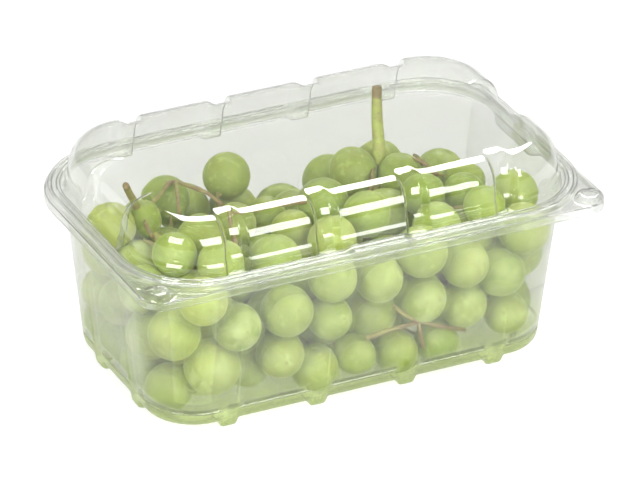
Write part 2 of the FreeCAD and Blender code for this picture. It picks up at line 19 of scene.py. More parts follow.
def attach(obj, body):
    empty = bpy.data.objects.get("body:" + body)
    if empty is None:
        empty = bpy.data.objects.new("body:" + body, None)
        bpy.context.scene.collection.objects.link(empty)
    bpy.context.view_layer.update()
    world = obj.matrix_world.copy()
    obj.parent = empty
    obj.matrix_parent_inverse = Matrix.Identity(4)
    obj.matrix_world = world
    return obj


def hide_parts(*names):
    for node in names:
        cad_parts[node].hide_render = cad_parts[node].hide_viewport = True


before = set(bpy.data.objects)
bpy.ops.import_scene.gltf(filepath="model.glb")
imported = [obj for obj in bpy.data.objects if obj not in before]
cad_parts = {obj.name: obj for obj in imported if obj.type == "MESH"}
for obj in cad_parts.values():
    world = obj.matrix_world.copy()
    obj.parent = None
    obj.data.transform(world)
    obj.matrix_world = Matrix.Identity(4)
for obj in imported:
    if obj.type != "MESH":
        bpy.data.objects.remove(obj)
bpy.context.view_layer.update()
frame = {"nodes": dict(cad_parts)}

LOG = logging.getLogger("punnet")
MM = 0.001
TINY = 1e-9
WHITE = (1.0, 1.0, 1.0, 1.0)
GRAPE_SEED_STEP = 20
Array = np.ndarray
Colour = tuple[float, float, float, float]
Point = tuple[float, float, float]
Material = bpy.types.Material
Node = bpy.types.Node
Piece = bpy.types.Object
Socket = bpy.types.NodeSocket
Tree = bpy.types.NodeTree


class Slot(Enum):
    """Finish names, the same as those of the materials built below; the two sheets carry theirs.
    """

    TRAY = "tray_film"
    LID = "lid_film"
    SKIN = "grape_skin"
    WOOD = "stem_wood"


def smooth(share: Array) -> Array:
    """Ease a share from 0 to 1: 3s^2 - 2s^3 of the share held between 0 and 1."""
    held = np.clip(share, 0.0, 1.0)
    return held * held * (3.0 - 2.0 * held)


def band(at: Array, centre: float, half_width: float, soft: float) -> Array:
    """Mask of a band in mm: 1 inside and 0 outside, eased over a soft border."""
    return smooth((half_width + soft / 2.0 - np.abs(at - centre)) / soft)


def unit(vectors: Array) -> Array:
    """Vectors along the last axis, each divided by its length."""
    return vectors / np.maximum(np.linalg.norm(vectors, axis=-1, keepdims=True), TINY)


def mesh_object(name: str, points: Array, faces: list, body: str,
                material: Material) -> Piece:
    """Make a smoothly shaded mesh object from points in mm and let it ride on a body.

    Args:
        name: Piece name.
        points: (N, 3) points in mm.
        faces: Lists of point indices.
        body: CAD body that carries the piece.
        material: Material of the whole piece.

    Returns:
        The new object.
    """
    mesh = bpy.data.meshes.new(name)
    mesh.from_pydata((points * MM).tolist(), [], faces)
    mesh.polygons.foreach_set("use_smooth", np.ones(len(mesh.polygons), bool))
    mesh.materials.append(material)
    mesh.update()
    piece = bpy.data.objects.new(name, mesh)
    bpy.context.scene.collection.objects.link(piece)
    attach(piece, body)
    LOG.info("%s: %d faces on body %s", name, len(mesh.polygons), body)
    return piece


def write_values(piece: Piece, name: str, values: Array) -> None:
    """Write a number at each point of a piece as an attribute that its material reads."""
    layer = piece.data.attributes.new(name, "FLOAT", "POINT")
    layer.data.foreach_set("value", values.astype(np.float32))


@dataclass(frozen=True)
class Outline:
    """Rounded rectangle of the tub's mouth and the larger outline of the rim, in mm."""

    core_x: float = 61.0
    core_y: float = 25.5
    radius: float = 27.0
    rim_x: float = 95.0
    tab_radius: float = 9.0

    @property
    def flange(self) -> float:
        """Distance of the rim from the mouth line along the straight sides, in mm."""
        return self.rim_x - self.core_x - self.radius

    def rim_reach(self, tab: Array, way: Array) -> Array:
        """Distance of the rim from the core along each station's outward way.

        In a front corner the rim is a tab: the way meets the front line, the side line or the
        tab's small arc, whichever comes first. Everywhere else the rim runs parallel.

        Args:
            tab: (U,) True at the stations of the two front corners.
            way: (U, 2) outward unit ways.

        Returns:
            (U,) distances from the core rectangle, in mm.
        """
        gap = self.rim_x - self.core_x
        across, along = np.abs(way[:, 0]), np.abs(way[:, 1])
        straight = gap / np.maximum(np.maximum(across, along), TINY)
        inner = gap - self.tab_radius
        middle = inner * (across + along)
        arc = middle + np.sqrt(np.maximum(
            middle ** 2 - 2.0 * inner ** 2 + self.tab_radius ** 2, 0.0))
        over = inner < np.minimum(across, along) * straight
        return np.where(tab, np.where(over, arc, straight), gap)


def run_places(half: float, edges: Sequence[float], soft: float) -> Array:
    """Places along a straight side: even, and close together across each form's soft edge.

    Args:
        half: Half of the side's length, in mm.
        edges: Places where a form begins or ends, in mm.
        soft: Width of the eased edges, in mm.

    Returns:
        The places in rising order, in mm.
    """
    steps = (-0.6, -0.36, -0.18, 0.0, 0.18, 0.36, 0.6)
    even_gap, clear = 3.0, 0.9
    near = [edge + soft * step for edge in edges for step in steps]
    even = np.linspace(-half, half, int(half / even_gap) + 2).tolist()
    keep = [x for x in even if all(abs(x - edge) > soft * clear for edge in edges)]
    return np.unique(np.clip(np.round(near + keep, 4), -half, half))


def stretch(x: Array | float, y: Array | float, angle: Array | float, kind: str
            ) -> tuple[Array, Array, Array]:
    """Stations of one side or corner.

    Args:
        x: Core places across, in mm.
        y: Core places from front to rear, in mm.
        angle: Bearings of the outward ways from +X towards +Y, in degrees.
        kind: What lies there.

    Returns:
        (U, 2) core points, (U, 2) unit ways and (U,) kinds.
    """
    x, y, turn = np.broadcast_arrays(x, y, np.radians(angle))
    return (np.stack([x, y], 1), np.stack([np.cos(turn), np.sin(turn)], 1),
            np.full(len(x), kind))


@dataclass
class Stations:
    """Stations round the outline: a core point, an outward way and what lies there."""

    core: Array
    way: Array
    kind: Array

    @classmethod
    def around(cls, outline: Outline, long_edges: Sequence[float], short_edges: Sequence[float],
               soft: float, corner_steps: tuple[int, int]) -> "Stations":
        """Set out the stations, close together where a form's edge crosses the line.

        A station lies at core + distance * way, so one list serves every offset. The line runs
        counter-clockwise from the front left: front, right, rear and left, with an arc between.

        Args:
            outline: The outline to follow.
            long_edges: Places along the front and rear where a form begins or ends, in mm.
            short_edges: The same along the two short sides.
            soft: Width of the eased edges, in mm.
            corner_steps: Steps of a front and of a rear corner arc.

        Returns:
            The stations.
        """
        long_run = run_places(outline.core_x, long_edges, soft)
        short_run = run_places(outline.core_y, short_edges, soft)
        tab, turn = (90.0 * np.arange(1, steps) / steps for steps in corner_steps)
        cx, cy = outline.core_x, outline.core_y
        parts = (stretch(long_run, -cy, -90.0, "front"), stretch(cx, -cy, tab - 90.0, "tab"),
                 stretch(cx, short_run, 0.0, "flank"), stretch(cx, cy, turn, "turn"),
                 stretch(long_run[::-1], cy, 90.0, "rear"),
                 stretch(-cx, cy, turn + 90.0, "turn"),
                 stretch(-cx, short_run[::-1], 180.0, "flank"),
                 stretch(-cx, -cy, tab + 180.0, "tab"))
        return cls(*(np.concatenate(part) for part in zip(*parts)))

    def rows(self, along: int, kinds: Sequence[str], centres: Sequence[float],
             half_width: float, soft: float) -> Array:
        """Mask of a row of like forms along one axis, on sides of some kinds, in mm."""
        at = self.core[:, along]
        return sum(band(at, x, half_width, soft) for x in centres) * np.isin(self.kind, kinds)


@dataclass(frozen=True)
class Corner:
    """One corner of a profile, and how finely the line is drawn there.

    The distance is measured outwards from the mouth line, in mm. The bend is the number of points
    on the rounding, and the run the number added to the straight stretch before it.
    """

    distance: float
    height: float
    radius: float = 0.0
    bend: int = 0
    run: int = 0


def rounded_profile(corners: Array, radii: Array, shape: Sequence[Corner],
                    first_share: float) -> Array:
    """Carry a smooth line along many cornered profiles at once.

    Every inner corner V becomes a parabola (1-s)^2 A + 2s(1-s) V + s^2 B, where A and B lie
    radius * tan(half the turn) before and after it, so its ends meet the straight runs smoothly.

    Args:
        corners: (U, K, 2) corner points of each station's profile.
        radii: (U, K) rounding radii, read at the inner corners.
        shape: The K corners, which give the points on each rounding and run.
        first_share: Largest share of a leg that the first rounding may take.

    Returns:
        (U, N, 2) points of the smooth lines.
    """
    usual_share = 0.47
    legs = np.diff(corners, axis=1)
    length = np.maximum(np.linalg.norm(legs, axis=2), 1e-6)
    way = legs / length[..., None]
    cosine = np.clip((way[:, :-1] * way[:, 1:]).sum(2), -1.0, 1.0)
    reach = radii[:, 1:-1] * np.tan(np.arccos(cosine) / 2.0)
    most = np.full(reach.shape[1], usual_share)
    most[0], most[1] = first_share, min(usual_share, 1.0 - first_share)
    reach = np.minimum(reach, most * np.minimum(length[:, :-1], length[:, 1:]))[..., None]
    enter = np.concatenate([corners[:, 1:-1] - way[:, :-1] * reach, corners[:, -1:]], axis=1)
    leave = np.concatenate([corners[:, :1], corners[:, 1:-1] + way[:, 1:] * reach], axis=1)
    parts = [corners[:, :1]]
    for k, corner in enumerate(shape[1:]):
        share = (np.arange(1, corner.run + 1) / (corner.run + 1))[None, :, None]
        parts.append(leave[:, k, None] * (1 - share) + enter[:, k, None] * share)
        if k + 1 < len(shape) - 1:
            s = np.linspace(0.0, 1.0, corner.bend)[None, :, None]
            parts.append((1 - s) ** 2 * enter[:, k, None] + 2 * s * (1 - s)
                         * corners[:, k + 1, None] + s ** 2 * leave[:, k + 1, None])
    return np.concatenate(parts + [corners[:, -1:]], axis=1)


def shifted(corners: Array, mask: Array, changes: dict[int, Sequence[float]]) -> Array:
    """Move some corners of the profiles to new places where a mask is 1.

    Args:
        corners: (U, K, 2) corner points.
        mask: (U,) share of the move at each station.
        changes: New distance and height by corner number.

    Returns:
        The moved (U, K, 2) corner points.
    """
    target = corners.copy()
    for number, place in changes.items():
        target[:, number] = place
    return corners + mask[:, None, None] * (target - corners)


def both_ends(places: Sequence[float], half: float) -> list[float]:
    """Both ends of like forms that stand at these places, in mm."""
    return [place + sign * half for place in places for sign in (-1, 1)]


@dataclass
class RimForms:
    """Places of the rim's forms, in mm, that the tray and the lid share."""

    button_x: float = 88.4
    button_y: float = -52.9
    button_soft: float = 1.5
    latch_half: float = 11.5

    def buttons(self, flat: Array, radius: float) -> Array:
        """Mask of the two round snap buttons on the front tabs, for places in plan in mm."""
        away = np.hypot(np.abs(flat[..., 0]) - self.button_x, flat[..., 1] - self.button_y)
        return smooth((radius + self.button_soft / 2.0 - away) / self.button_soft)


@dataclass
class FormedSheet:
    """A thermoformed shell: profiles carried round the outline, with an even thickness."""

    name: str
    body: str
    slot: Slot
    level: float
    soft: float
    button_radius: float
    edge_in: float
    button_height: float = 2.0
    first_share: float = 0.47
    outline: Outline = field(default_factory=Outline)
    forms: RimForms = field(default_factory=RimForms)
    flat_end: float = -22.0
    thickness: float = 0.3
    centre_rings: int = 4
    corner_steps: tuple[int, int] = (44, 26)
    rim_start: float = 0.3
    rim_slack: float = 0.3
    long_places: tuple[float, ...] = (-55.05, -18.35, 18.35, 55.05)

    def stations(self, long_edges: Sequence[float], short_edges: Sequence[float]) -> Stations:
        """Set out the stations for forms whose edges lie at these places, in mm."""
        return Stations.around(self.outline, sorted(long_edges), sorted(short_edges), self.soft,
                               self.corner_steps)

    def spread(self, shape: Sequence[Corner], count: int) -> tuple[Array, Array]:
        """Give every station the plain profile.

        Args:
            shape: Corners of the plain profile.
            count: Number of stations.

        Returns:
            (U, K, 2) corner points and (U, K) radii.
        """
        corners = np.array([(corner.distance, corner.height) for corner in shape])
        radii = np.array([corner.radius for corner in shape])
        return np.tile(corners, (count, 1, 1)), np.tile(radii, (count, 1))

    def button_lift(self, flat: Array, profile: Array) -> Array:
        """Height that the snap buttons add to the flange.

        Args:
            flat: (U, N, 2) places in plan, in mm.
            profile: (U, N, 2) profile points, distance from the mouth line and height, in mm.

        Returns:
            (U, N) heights in mm.
        """
        button = self.forms.buttons(flat, self.button_radius) * self.button_height
        room = np.maximum(profile[..., 1] - self.level, 0.0)
        high = profile[..., 1] > self.level - self.rim_slack
        on_rim = high & (profile[..., 0] > self.rim_start)
        return np.where(on_rim, np.maximum(button - room, 0.0), 0.0)

    def shell(self, stations: Stations, shape: Sequence[Corner], corners: Array, radii: Array
              ) -> tuple[Array, list]:
        """Round the profiles and close the sheet: upper face, lower face, edge and middle.

        The upper face is core + (radius + d) * way at height z for the profile's (d, z). Its
        normal is (across the profile) x (along the line), and the lower face is the upper face
        less thickness * normal. Rings shrunk towards the middle and a point close the flat part.

        Args:
            stations: Stations round the outline.
            shape: Corners of the plain profile.
            corners: (U, K, 2) corner points, of which the last two are carried to the rim.
            radii: (U, K) rounding radii.

        Returns:
            The points in mm and the faces.
        """
        rim = (self.outline.rim_reach(stations.kind == "tab", stations.way)
               - self.outline.radius)
        corners[:, -2, 0], corners[:, -1, 0] = rim - self.edge_in, rim
        profile = rounded_profile(corners, radii, shape, self.first_share)
        flat = stations.core[:, None] + stations.way[:, None] * (
            profile[..., :1] + self.outline.radius)
        upper = np.concatenate([flat, profile[..., 1:]], axis=2)
        upper[..., 2] += self.button_lift(flat, profile)
        shares = 1.0 - np.arange(self.centre_rings, 0, -1) / (self.centre_rings + 1)
        rings = [upper[:, :1] * np.array([share, share, 1.0]) for share in shares]
        grid = np.concatenate(rings + [upper], axis=1)
        along = np.roll(grid, -1, axis=0) - np.roll(grid, 1, axis=0)
        lower = grid - unit(np.cross(np.gradient(grid, axis=1), along)) * self.thickness
        pole = np.array([[0.0, 0.0, grid[0, 0, 2]], [0.0, 0.0, grid[0, 0, 2] - self.thickness]])
        points = np.concatenate([grid.reshape(-1, 3), lower.reshape(-1, 3), pole])
        count, depth = grid.shape[:2]
        size = count * depth
        first = np.arange(count) * depth
        after = np.roll(first, -1)
        row = np.arange(depth - 1)[None]
        here, there = first[:, None] + row, after[:, None] + row
        top = np.stack([here, here + 1, there + 1, there], -1).reshape(-1, 4)
        rim, rim_after = first + depth - 1, after + depth - 1
        edge = np.stack([rim, rim + size, rim_after + size, rim_after], -1)
        fan = np.stack([np.full(count, 2 * size), first, after], -1)
        fan_under = np.stack([np.full(count, 2 * size + 1), after + size, first + size], -1)
        faces = [part.tolist() for part in (top, top[:, ::-1] + size, edge, fan, fan_under)]
        return points, sum(faces, [])


@dataclass
class TraySheet(FormedSheet):
    """The clear tray: tub with hollow feet, beaded flange with a latch, and a skirt."""

    name: str = "clear_tray"
    body: str = "tray"
    slot: Slot = Slot.TRAY
    level: float = 67.4
    soft: float = 1.8
    button_radius: float = 4.1
    edge_in: float = 0.25
    floor: float = 3.0
    wall_start: float = 9.0
    draft: float = 6.6
    skirt_end: float = 64.7
    bead: tuple[float, ...] = (2.0, 2.3, 4.5, 4.8)
    bead_top: float = 69.6
    latch: tuple[float, ...] = (1.5, 1.8, 5.6, 5.9)
    latch_top: float = 70.6
    bead_drawn: tuple[tuple[float, int, int], ...] = (
        (0.4, 4, 1), (0.5, 6, 1), (0.5, 6, 1), (0.4, 4, 1))
    wall_in: float = 0.5
    foot_lines: tuple[float, float] = (-16.6, -15.9)
    foot_start: float = -15.6
    foot_floor: float = 0.5
    foot_top: float = 8.0
    foot_radius: float = 2.6
    foot_out: float = 0.1
    foot_top_in: float = 0.3
    foot_half: float = 3.2
    short_feet: tuple[float, ...] = (-16.0, 16.0)
    green_height: float = 26.0

    def wall(self, height: float) -> float:
        """Distance of the tub's inner wall from the mouth line at a height, in mm."""
        return -self.wall_in - (self.level - height) * math.tan(math.radians(self.draft))

    def ridge(self, distances: Sequence[float], top: float) -> list[tuple[float, float]]:
        """Four corners of a bead on the flange at these distances, with its top at a height."""
        return list(zip(distances, (self.level, top, top, self.level)))

    def shape(self) -> list[Corner]:
        """Corners of the plain profile, from the floor's flat middle out to the skirt's end."""
        bead = [Corner(*place, *drawn) for place, drawn
                in zip(self.ridge(self.bead, self.bead_top), self.bead_drawn)]
        return [Corner(self.flat_end, self.floor),
                Corner(self.foot_lines[0], self.floor, radius=1.0, bend=3, run=1),
                Corner(self.foot_lines[1], self.floor, radius=1.0, bend=3),
                Corner(self.wall(self.floor), self.floor, radius=5.5, bend=7, run=3),
                Corner(self.wall(self.wall_start), self.wall_start, radius=2.0, bend=3, run=1),
                Corner(self.wall(self.level), self.level, radius=0.6, bend=6, run=12),
                *bead,
                Corner(self.outline.flange, self.level, radius=0.6, bend=6, run=12),
                Corner(self.outline.flange, self.skirt_end, run=2)]

    def build(self, material: Material) -> None:
        """Build the tray and let it stand for its CAD node.

        Args:
            material: Clear film.
        """
        latch_half = self.forms.latch_half
        stations = self.stations(
            both_ends(self.long_places, self.foot_half) + both_ends((0.0,), latch_half),
            both_ends(self.short_feet, self.foot_half))
        foot = (stations.rows(0, ("front", "rear"), self.long_places, self.foot_half, self.soft)
                + stations.rows(1, ("flank",), self.short_feet, self.foot_half, self.soft))
        latch = stations.rows(0, ("front",), (0.0,), latch_half, self.soft)
        shape = self.shape()
        corners, radii = self.spread(shape, len(foot))
        corners = shifted(corners, foot, {
            2: (self.foot_start, self.foot_floor),
            3: (self.wall(self.floor) + self.foot_out, self.foot_floor),
            4: (self.wall(self.wall_start) - self.foot_top_in, self.foot_top)})
        radii[:, 3] += foot * (self.foot_radius - radii[:, 3])
        raised = self.ridge(self.latch, self.latch_top)
        corners = shifted(corners, latch, dict(enumerate(raised, 6)))
        points, faces = self.shell(stations, shape, corners, radii)
        piece = mesh_object(self.name, points, faces, self.body, material)
        write_values(piece, "low", smooth((self.green_height - points[:, 2]) / self.green_height))
        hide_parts("tray")


@dataclass
class LidSheet(FormedSheet):
    """The clear lid: fluted dome with rounded barrels, side recesses, bead, latch and tabs."""

    name: str = "clear_lid"
    body: str = "lid"
    slot: Slot = Slot.LID
    level: float = 68.2
    soft: float = 2.4
    button_radius: float = 4.9
    edge_in: float = 0.1
    first_share: float = 0.82
    top: float = 88.0
    draft: float = 8.0
    draft_level: float = 67.7
    shoulder: float = 12.0
    flute_depth: float = 4.0
    flute_half: float = 4.0
    recess_half: float = 14.5
    step_top: float = 74.2
    step_height: float = 1.1
    step_out: float = 0.7
    bead_sides: tuple[float, float] = (1.1, 5.7)
    bead_top: float = 70.4
    latch_sides: tuple[float, float] = (1.0, 6.4)
    latch_top: float = 71.4
    latch_room: float = 0.8
    bead_drawn: tuple[tuple[float, int, int], ...] = (
        (0.4, 4, 1), (0.45, 5, 1), (0.35, 4, 0), (0.3, 4, 0),
        (0.3, 4, 1), (0.35, 4, 0), (0.45, 5, 0), (0.4, 4, 1))
    lip_share: float = 0.3
    lean: float = 0.3
    groove_depth: float = 0.7
    edge_drop: float = 0.4

    def wall(self, height: float) -> float:
        """Distance of the dome's outer wall from the mouth line at a height, in mm."""
        return -(height - self.draft_level) * math.tan(math.radians(self.draft))

    def bead(self, sides: tuple[float, float], top: float) -> list[tuple[float, float]]:
        """Corners of a hollow bead with a shallow groove along its top.

        Args:
            sides: Distances of its inner and outer side from the mouth line, in mm.
            top: Height of its top, in mm.

        Returns:
            Eight profile corners, the first and last on the flange.
        """
        near, far = sides
        lip = (far - near) * self.lip_share
        low = top - self.groove_depth
        return [(near - self.lean, self.level), (near, top), (near + lip, top),
                (near + lip + self.lean, low), (far - lip - self.lean, low), (far - lip, top),
                (far, top), (far + self.lean, self.level)]

    def shape(self) -> list[Corner]:
        """Set out the plain profile, from the dome's flat top out to the flange's edge.

        Returns:
            Its corners.
        """
        step_low = self.step_top - self.step_height
        bead = [Corner(*place, *drawn) for place, drawn
                in zip(self.bead(self.bead_sides, self.bead_top), self.bead_drawn)]
        return [Corner(self.flat_end, self.top),
                Corner(self.wall(self.top), self.top, radius=self.shoulder, bend=16, run=2),
                Corner(self.wall(self.step_top) - self.step_out, self.step_top,
                       radius=0.5, bend=4, run=3),
                Corner(self.wall(step_low), step_low, radius=0.5, bend=4),
                Corner(self.wall(self.level), self.level, radius=0.45, bend=4, run=2),
                *bead,
                Corner(self.outline.flange, self.level, radius=0.35, bend=3, run=12),
                Corner(self.outline.flange, self.level - self.edge_drop)]

    def build(self, material: Material) -> None:
        """Build the lid and let it stand for its CAD node.

        Args:
            material: Clear film.
        """
        latch_half = self.forms.latch_half + self.latch_room
        stations = self.stations(
            both_ends(self.long_places, self.flute_half) + both_ends((0.0,), latch_half),
            both_ends((0.0,), self.recess_half))
        flute = (stations.rows(0, ("front", "rear"), self.long_places, self.flute_half,
                               self.soft)
                 + stations.rows(1, ("flank",), (0.0,), self.recess_half, self.soft))
        latch = stations.rows(0, ("front",), (0.0,), latch_half, self.soft)
        shape = self.shape()
        corners, radii = self.spread(shape, len(flute))
        corners[:, 1:5, 0] -= flute[:, None] * self.flute_depth
        raised = self.bead(self.latch_sides, self.latch_top)
        corners = shifted(corners, latch, dict(enumerate(raised, 5)))
        points, faces = self.shell(stations, shape, corners, radii)
        piece = mesh_object(self.name, points, faces, self.body, material)
        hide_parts("lid")


def capped_rings(rings: int, sides: int) -> tuple[Array, Array]:
    """Faces of rings of points that are closed by a point at each end.

    The points run ring by ring, and the first and last end point follow them. The faces look
    outwards where a ring turns clockwise as seen from the last end.

    Args:
        rings: Number of rings.
        sides: Points in a ring.

    Returns:
        (F, 4) faces between the rings and (2 * sides, 3) faces of the two ends.
    """
    around = np.arange(sides)
    after = (around + 1) % sides
    k = np.arange(rings - 1)[:, None] * sides
    quads = np.stack([k + around, k + after, k + sides + after, k + sides + around], -1)
    last = (rings - 1) * sides
    low = np.stack([np.full(sides, rings * sides), after, around], -1)
    high = np.stack([np.full(sides, rings * sides + 1), last + around, last + after], -1)
    return quads.reshape(-1, 4), np.concatenate([low, high])


def tube(path: Array, radii: Array, sides: int, ridges: float = 0.0) -> tuple[Array, list]:
    """Sweep a round section along a path and close both ends with a point.

    Ring k is path_k + radius_k * (1 + ridges * cos(3 angle)) * (cos(angle) a + sin(angle) b),
    where a and b are square to the path's direction there.

    Args:
        path: (K, 3) points in mm.
        radii: (K,) radii in mm.
        sides: Points round the section.
        ridges: Depth of three soft ridges, as a share of the radius.

    Returns:
        Points in mm and faces.
    """
    steep = 0.9
    across, upright = np.array([1.0, 0.0, 0.0]), np.array([0.0, 0.0, 1.0])
    ahead = unit(np.gradient(path, axis=0))
    rise = np.abs(ahead[:, 2:])
    other = np.where(rise > steep, across, upright)
    if np.ptp(rise) > 0.0 and rise.max() > steep:
        other = np.tile(across, (len(path), 1))
    first = unit(np.cross(ahead, other))
    second = np.cross(ahead, first)
    angle = np.arange(sides) * 2.0 * np.pi / sides
    swell = radii[:, None] * (1.0 + ridges * np.cos(3.0 * angle))[None]
    section = (np.cos(angle)[None, :, None] * first[:, None]
               + np.sin(angle)[None, :, None] * second[:, None])
    ring = path[:, None] + swell[..., None] * section
    points = np.concatenate([ring.reshape(-1, 3), path[:1], path[-1:]])
    quads, ends = capped_rings(len(path), sides)
    return points, quads.tolist() + ends.tolist()


def curve_through(knots: Sequence[Point], steps: int) -> Array:
    """Smooth line through knots: a Catmull-Rom curve sampled evenly in its parameter.

    Between knots 1 and 2 it is half of 2 p1 + (p2 - p0) s + (2 p0 - 5 p1 + 4 p2 - p3) s^2
    + (3 p1 - p0 - 3 p2 + p3) s^3, and past the ends the knots are mirrored.

    Args:
        knots: Points in mm.
        steps: Samples in each span.

    Returns:
        (K, 3) points in mm.
    """
    at = np.array(knots, float)
    padded = np.concatenate([2 * at[:1] - at[1:2], at, 2 * at[-1:] - at[-2:-1]])
    s = (np.arange(steps) / steps)[None, :, None]
    p0, p1, p2, p3 = (padded[k:len(at) - 1 + k, None] for k in range(4))
    line = 0.5 * (2 * p1 + (p2 - p0) * s + (2 * p0 - 5 * p1 + 4 * p2 - p3) * s ** 2
                  + (3 * p1 - p0 - 3 * p2 + p3) * s ** 3)
    return np.concatenate([line.reshape(-1, 3), at[-1:]])


def join_meshes(parts: list[tuple[Array, list]]) -> tuple[Array, list]:
    """Put several meshes into one.

    Args:
        parts: Points and faces of each mesh.

    Returns:
        All the points, and all the faces with their indices moved up to match.
    """
    points, faces, start = [], [], 0
    for part_points, part_faces in parts:
        points.append(part_points)
        faces.extend([[index + start for index in face] for face in part_faces])
        start += len(part_points)
    return np.concatenate(points), faces


@dataclass
class HingeRoll:
    """The rolled rear edge on which the lid folds."""

    half_length: float = 56.0
    radius: float = 0.75
    at_y: float = 60.6
    at_z: float = 67.55
    sides: int = 14
    rings: int = 40
    taper: float = 1.5
    end_share: float = 0.55

    def build(self, material: Material) -> None:
        """Build the roll as one tube along the rear rim, with narrowed ends.

        Args:
            material: Clear film.
        """
        x = np.linspace(-self.half_length, self.half_length, self.rings)
        path = np.stack([x, np.full_like(x, self.at_y), np.full_like(x, self.at_z)], 1)
        full = smooth((self.half_length - np.abs(x)) / self.taper)
        radii = self.radius * (self.end_share + (1.0 - self.end_share) * full)
        points, faces = tube(path, radii, self.sides)
        mesh_object("hinge_roll", points, faces, "lid", material)


@dataclass
class Bunch:
    """The grapes of one bunch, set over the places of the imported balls."""

    side: str
    seed: int
    columns: int = 24
    rows: int = 14
    fullness: float = 0.985
    scatter: float = 6.0
    longest: float = 1.05
    taper: float = 0.03
    stalk_dent: float = 0.975
    blossom_dent: float = 0.985
    top_course: float = 46.0
    course: float = 10.0
    # Share of the bloom that fades out on the higher grapes.
    high_bloom_fade: float = 0.7
    least_bloom: float = 0.3

    @property
    def node(self) -> str:
        """Name of the CAD node of the grapes."""
        return f"{self.side}_bunch_grapes"

    def places(self, nodes: dict) -> tuple[Array, Array]:
        """Read each ball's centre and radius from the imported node.

        Corners that share a place are merged, every island of joined corners is one ball, its
        centre is the mean of its corners and its radius their mean distance from it.

        Args:
            nodes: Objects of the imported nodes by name.

        Returns:
            (B, 3) centres and (B,) radii in mm.
        """
        mesh = nodes[self.node].data
        points = np.empty(len(mesh.vertices) * 3)
        mesh.vertices.foreach_get("co", points)
        points = points.reshape(-1, 3) / MM
        ends = np.empty(len(mesh.edges) * 2, int)
        mesh.edges.foreach_get("vertices", ends)
        _, merged = np.unique(np.round(points, 2), axis=0, return_inverse=True)
        merged = merged.reshape(-1)
        ends = merged[ends.reshape(-1, 2)]
        label = np.arange(merged.max() + 1)
        while True:
            low = np.minimum(label[ends[:, 0]], label[ends[:, 1]])
            fresh = label.copy()
            np.minimum.at(fresh, ends[:, 0], low)
            np.minimum.at(fresh, ends[:, 1], low)
            if np.array_equal(fresh, label):
                break
            label = fresh
        corner = np.zeros((len(label), 3))
        corner[merged] = points
        groups, member = np.unique(label, return_inverse=True)
        count = np.bincount(member)
        centre = np.stack([np.bincount(member, corner[:, k]) / count for k in range(3)], 1)
        away = np.linalg.norm(corner - centre[member], axis=1)
        LOG.info("%s holds %d grapes", self.node, len(groups))
        return centre, np.bincount(member, away) / count

    def build(self, nodes: dict, rachis: Array, material: Material
              ) -> tuple[Array, Array, Array]:
        """Build the bunch's grapes as one piece and let it stand for its CAD node.

        A grape is a ball of meridians and parallels, drawn out a little along its own axis and
        narrowed towards its blossom end: radius(v) = r * (1 + taper * cos v) * sin v, height
        r * long * cos v. The axis points from the blossom end to the stalk, towards the bunch's
        main stem.

        Args:
            nodes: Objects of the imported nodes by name.
            rachis: (K, 3) points of the bunch's main stem, in mm.
            material: Skin material.

        Returns:
            (B, 3) centres, (B, 3) axes and (B,) lengths from centre to stalk end.
        """
        rng = np.random.default_rng(self.seed)
        centre, radius = self.places(nodes)
        count = len(centre)
        nearest = rachis[np.linalg.norm(centre[:, None] - rachis[None], axis=2).argmin(1)]
        axis = unit(nearest - centre + rng.normal(0, self.scatter, (count, 3)))
        other = unit(np.cross(axis, rng.normal(0, 1, (count, 3))))
        third = np.cross(axis, other)
        size = radius * self.fullness
        reach = size * rng.uniform(1.0, self.longest, count)
        polar = np.pi * np.arange(1, self.rows) / self.rows
        turn = 2 * np.pi * np.arange(self.columns) / self.columns
        girth = np.sin(polar) * (1.0 + self.taper * np.cos(polar))
        across = size[:, None, None] * girth[None, :, None]
        ring = (across[..., None] * (np.cos(turn)[:, None] * other[:, None, None]
                                     + np.sin(turn)[:, None] * third[:, None, None])
                + reach[:, None, None, None] * np.cos(polar)[:, None, None]
                * axis[:, None, None])
        skin = (centre[:, None, None] + ring).reshape(count, -1, 3)
        tips = np.stack([centre + axis * reach[:, None] * self.stalk_dent,
                         centre - axis * reach[:, None] * self.blossom_dent], 1)
        points = np.concatenate([skin, tips], 1)
        start = np.arange(count)[:, None, None] * points.shape[1]
        faces = []
        for part in capped_rings(self.rows - 1, self.columns):
            outward = np.roll(part[:, ::-1], 1, axis=1)
            faces += (outward[None] + start).reshape(-1, part.shape[1]).tolist()
        piece = mesh_object(f"{self.side}_grapes", points.reshape(-1, 3), faces, "tray",
                            material)
        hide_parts(self.node)
        pole = ((points - centre[:, None]) * axis[:, None]).sum(2) / reach[:, None]
        self.mark(piece, pole, centre[:, 2], rng)
        return centre, axis, reach

    def mark(self, piece: Piece, pole: Array, height: Array, rng: np.random.Generator) -> None:
        """Write what the skin reads: each grape's tone and bloom, and each corner's pole share.

        Args:
            piece: The grapes' object.
            pole: (B, V) share from -1 at the blossom end to 1 at the stalk end.
            height: (B,) heights of the centres, in mm.
            rng: Random numbers of the bunch.
        """
        count, each = pole.shape
        tone = rng.random(count)
        # Less bloom on the higher grapes, fading over one course above the top course's height.
        kept = 1.0 - self.high_bloom_fade * smooth((height - self.top_course) / self.course)
        bloom = (self.least_bloom + (1.0 - self.least_bloom) * rng.random(count)) * kept
        write_values(piece, "tone", np.repeat(tone, each))
        write_values(piece, "bloom", np.repeat(bloom, each))
        write_values(piece, "pole", pole.reshape(-1))


@dataclass(frozen=True)
class Branch:
    """One swept length of stem, with the share of brown wood at each point of its path."""

    path: Array
    radii: Array
    sides: int
    ridges: float
    wood: Array

    def mesh(self) -> tuple[Array, list]:
        """Points in mm and faces of the swept tube."""
        return tube(self.path, self.radii, self.sides, self.ridges)

    def shares(self) -> Array:
        """Share of brown wood at each point of the tube."""
        return np.concatenate([np.repeat(self.wood, self.sides), self.wood[:1], self.wood[-1:]])


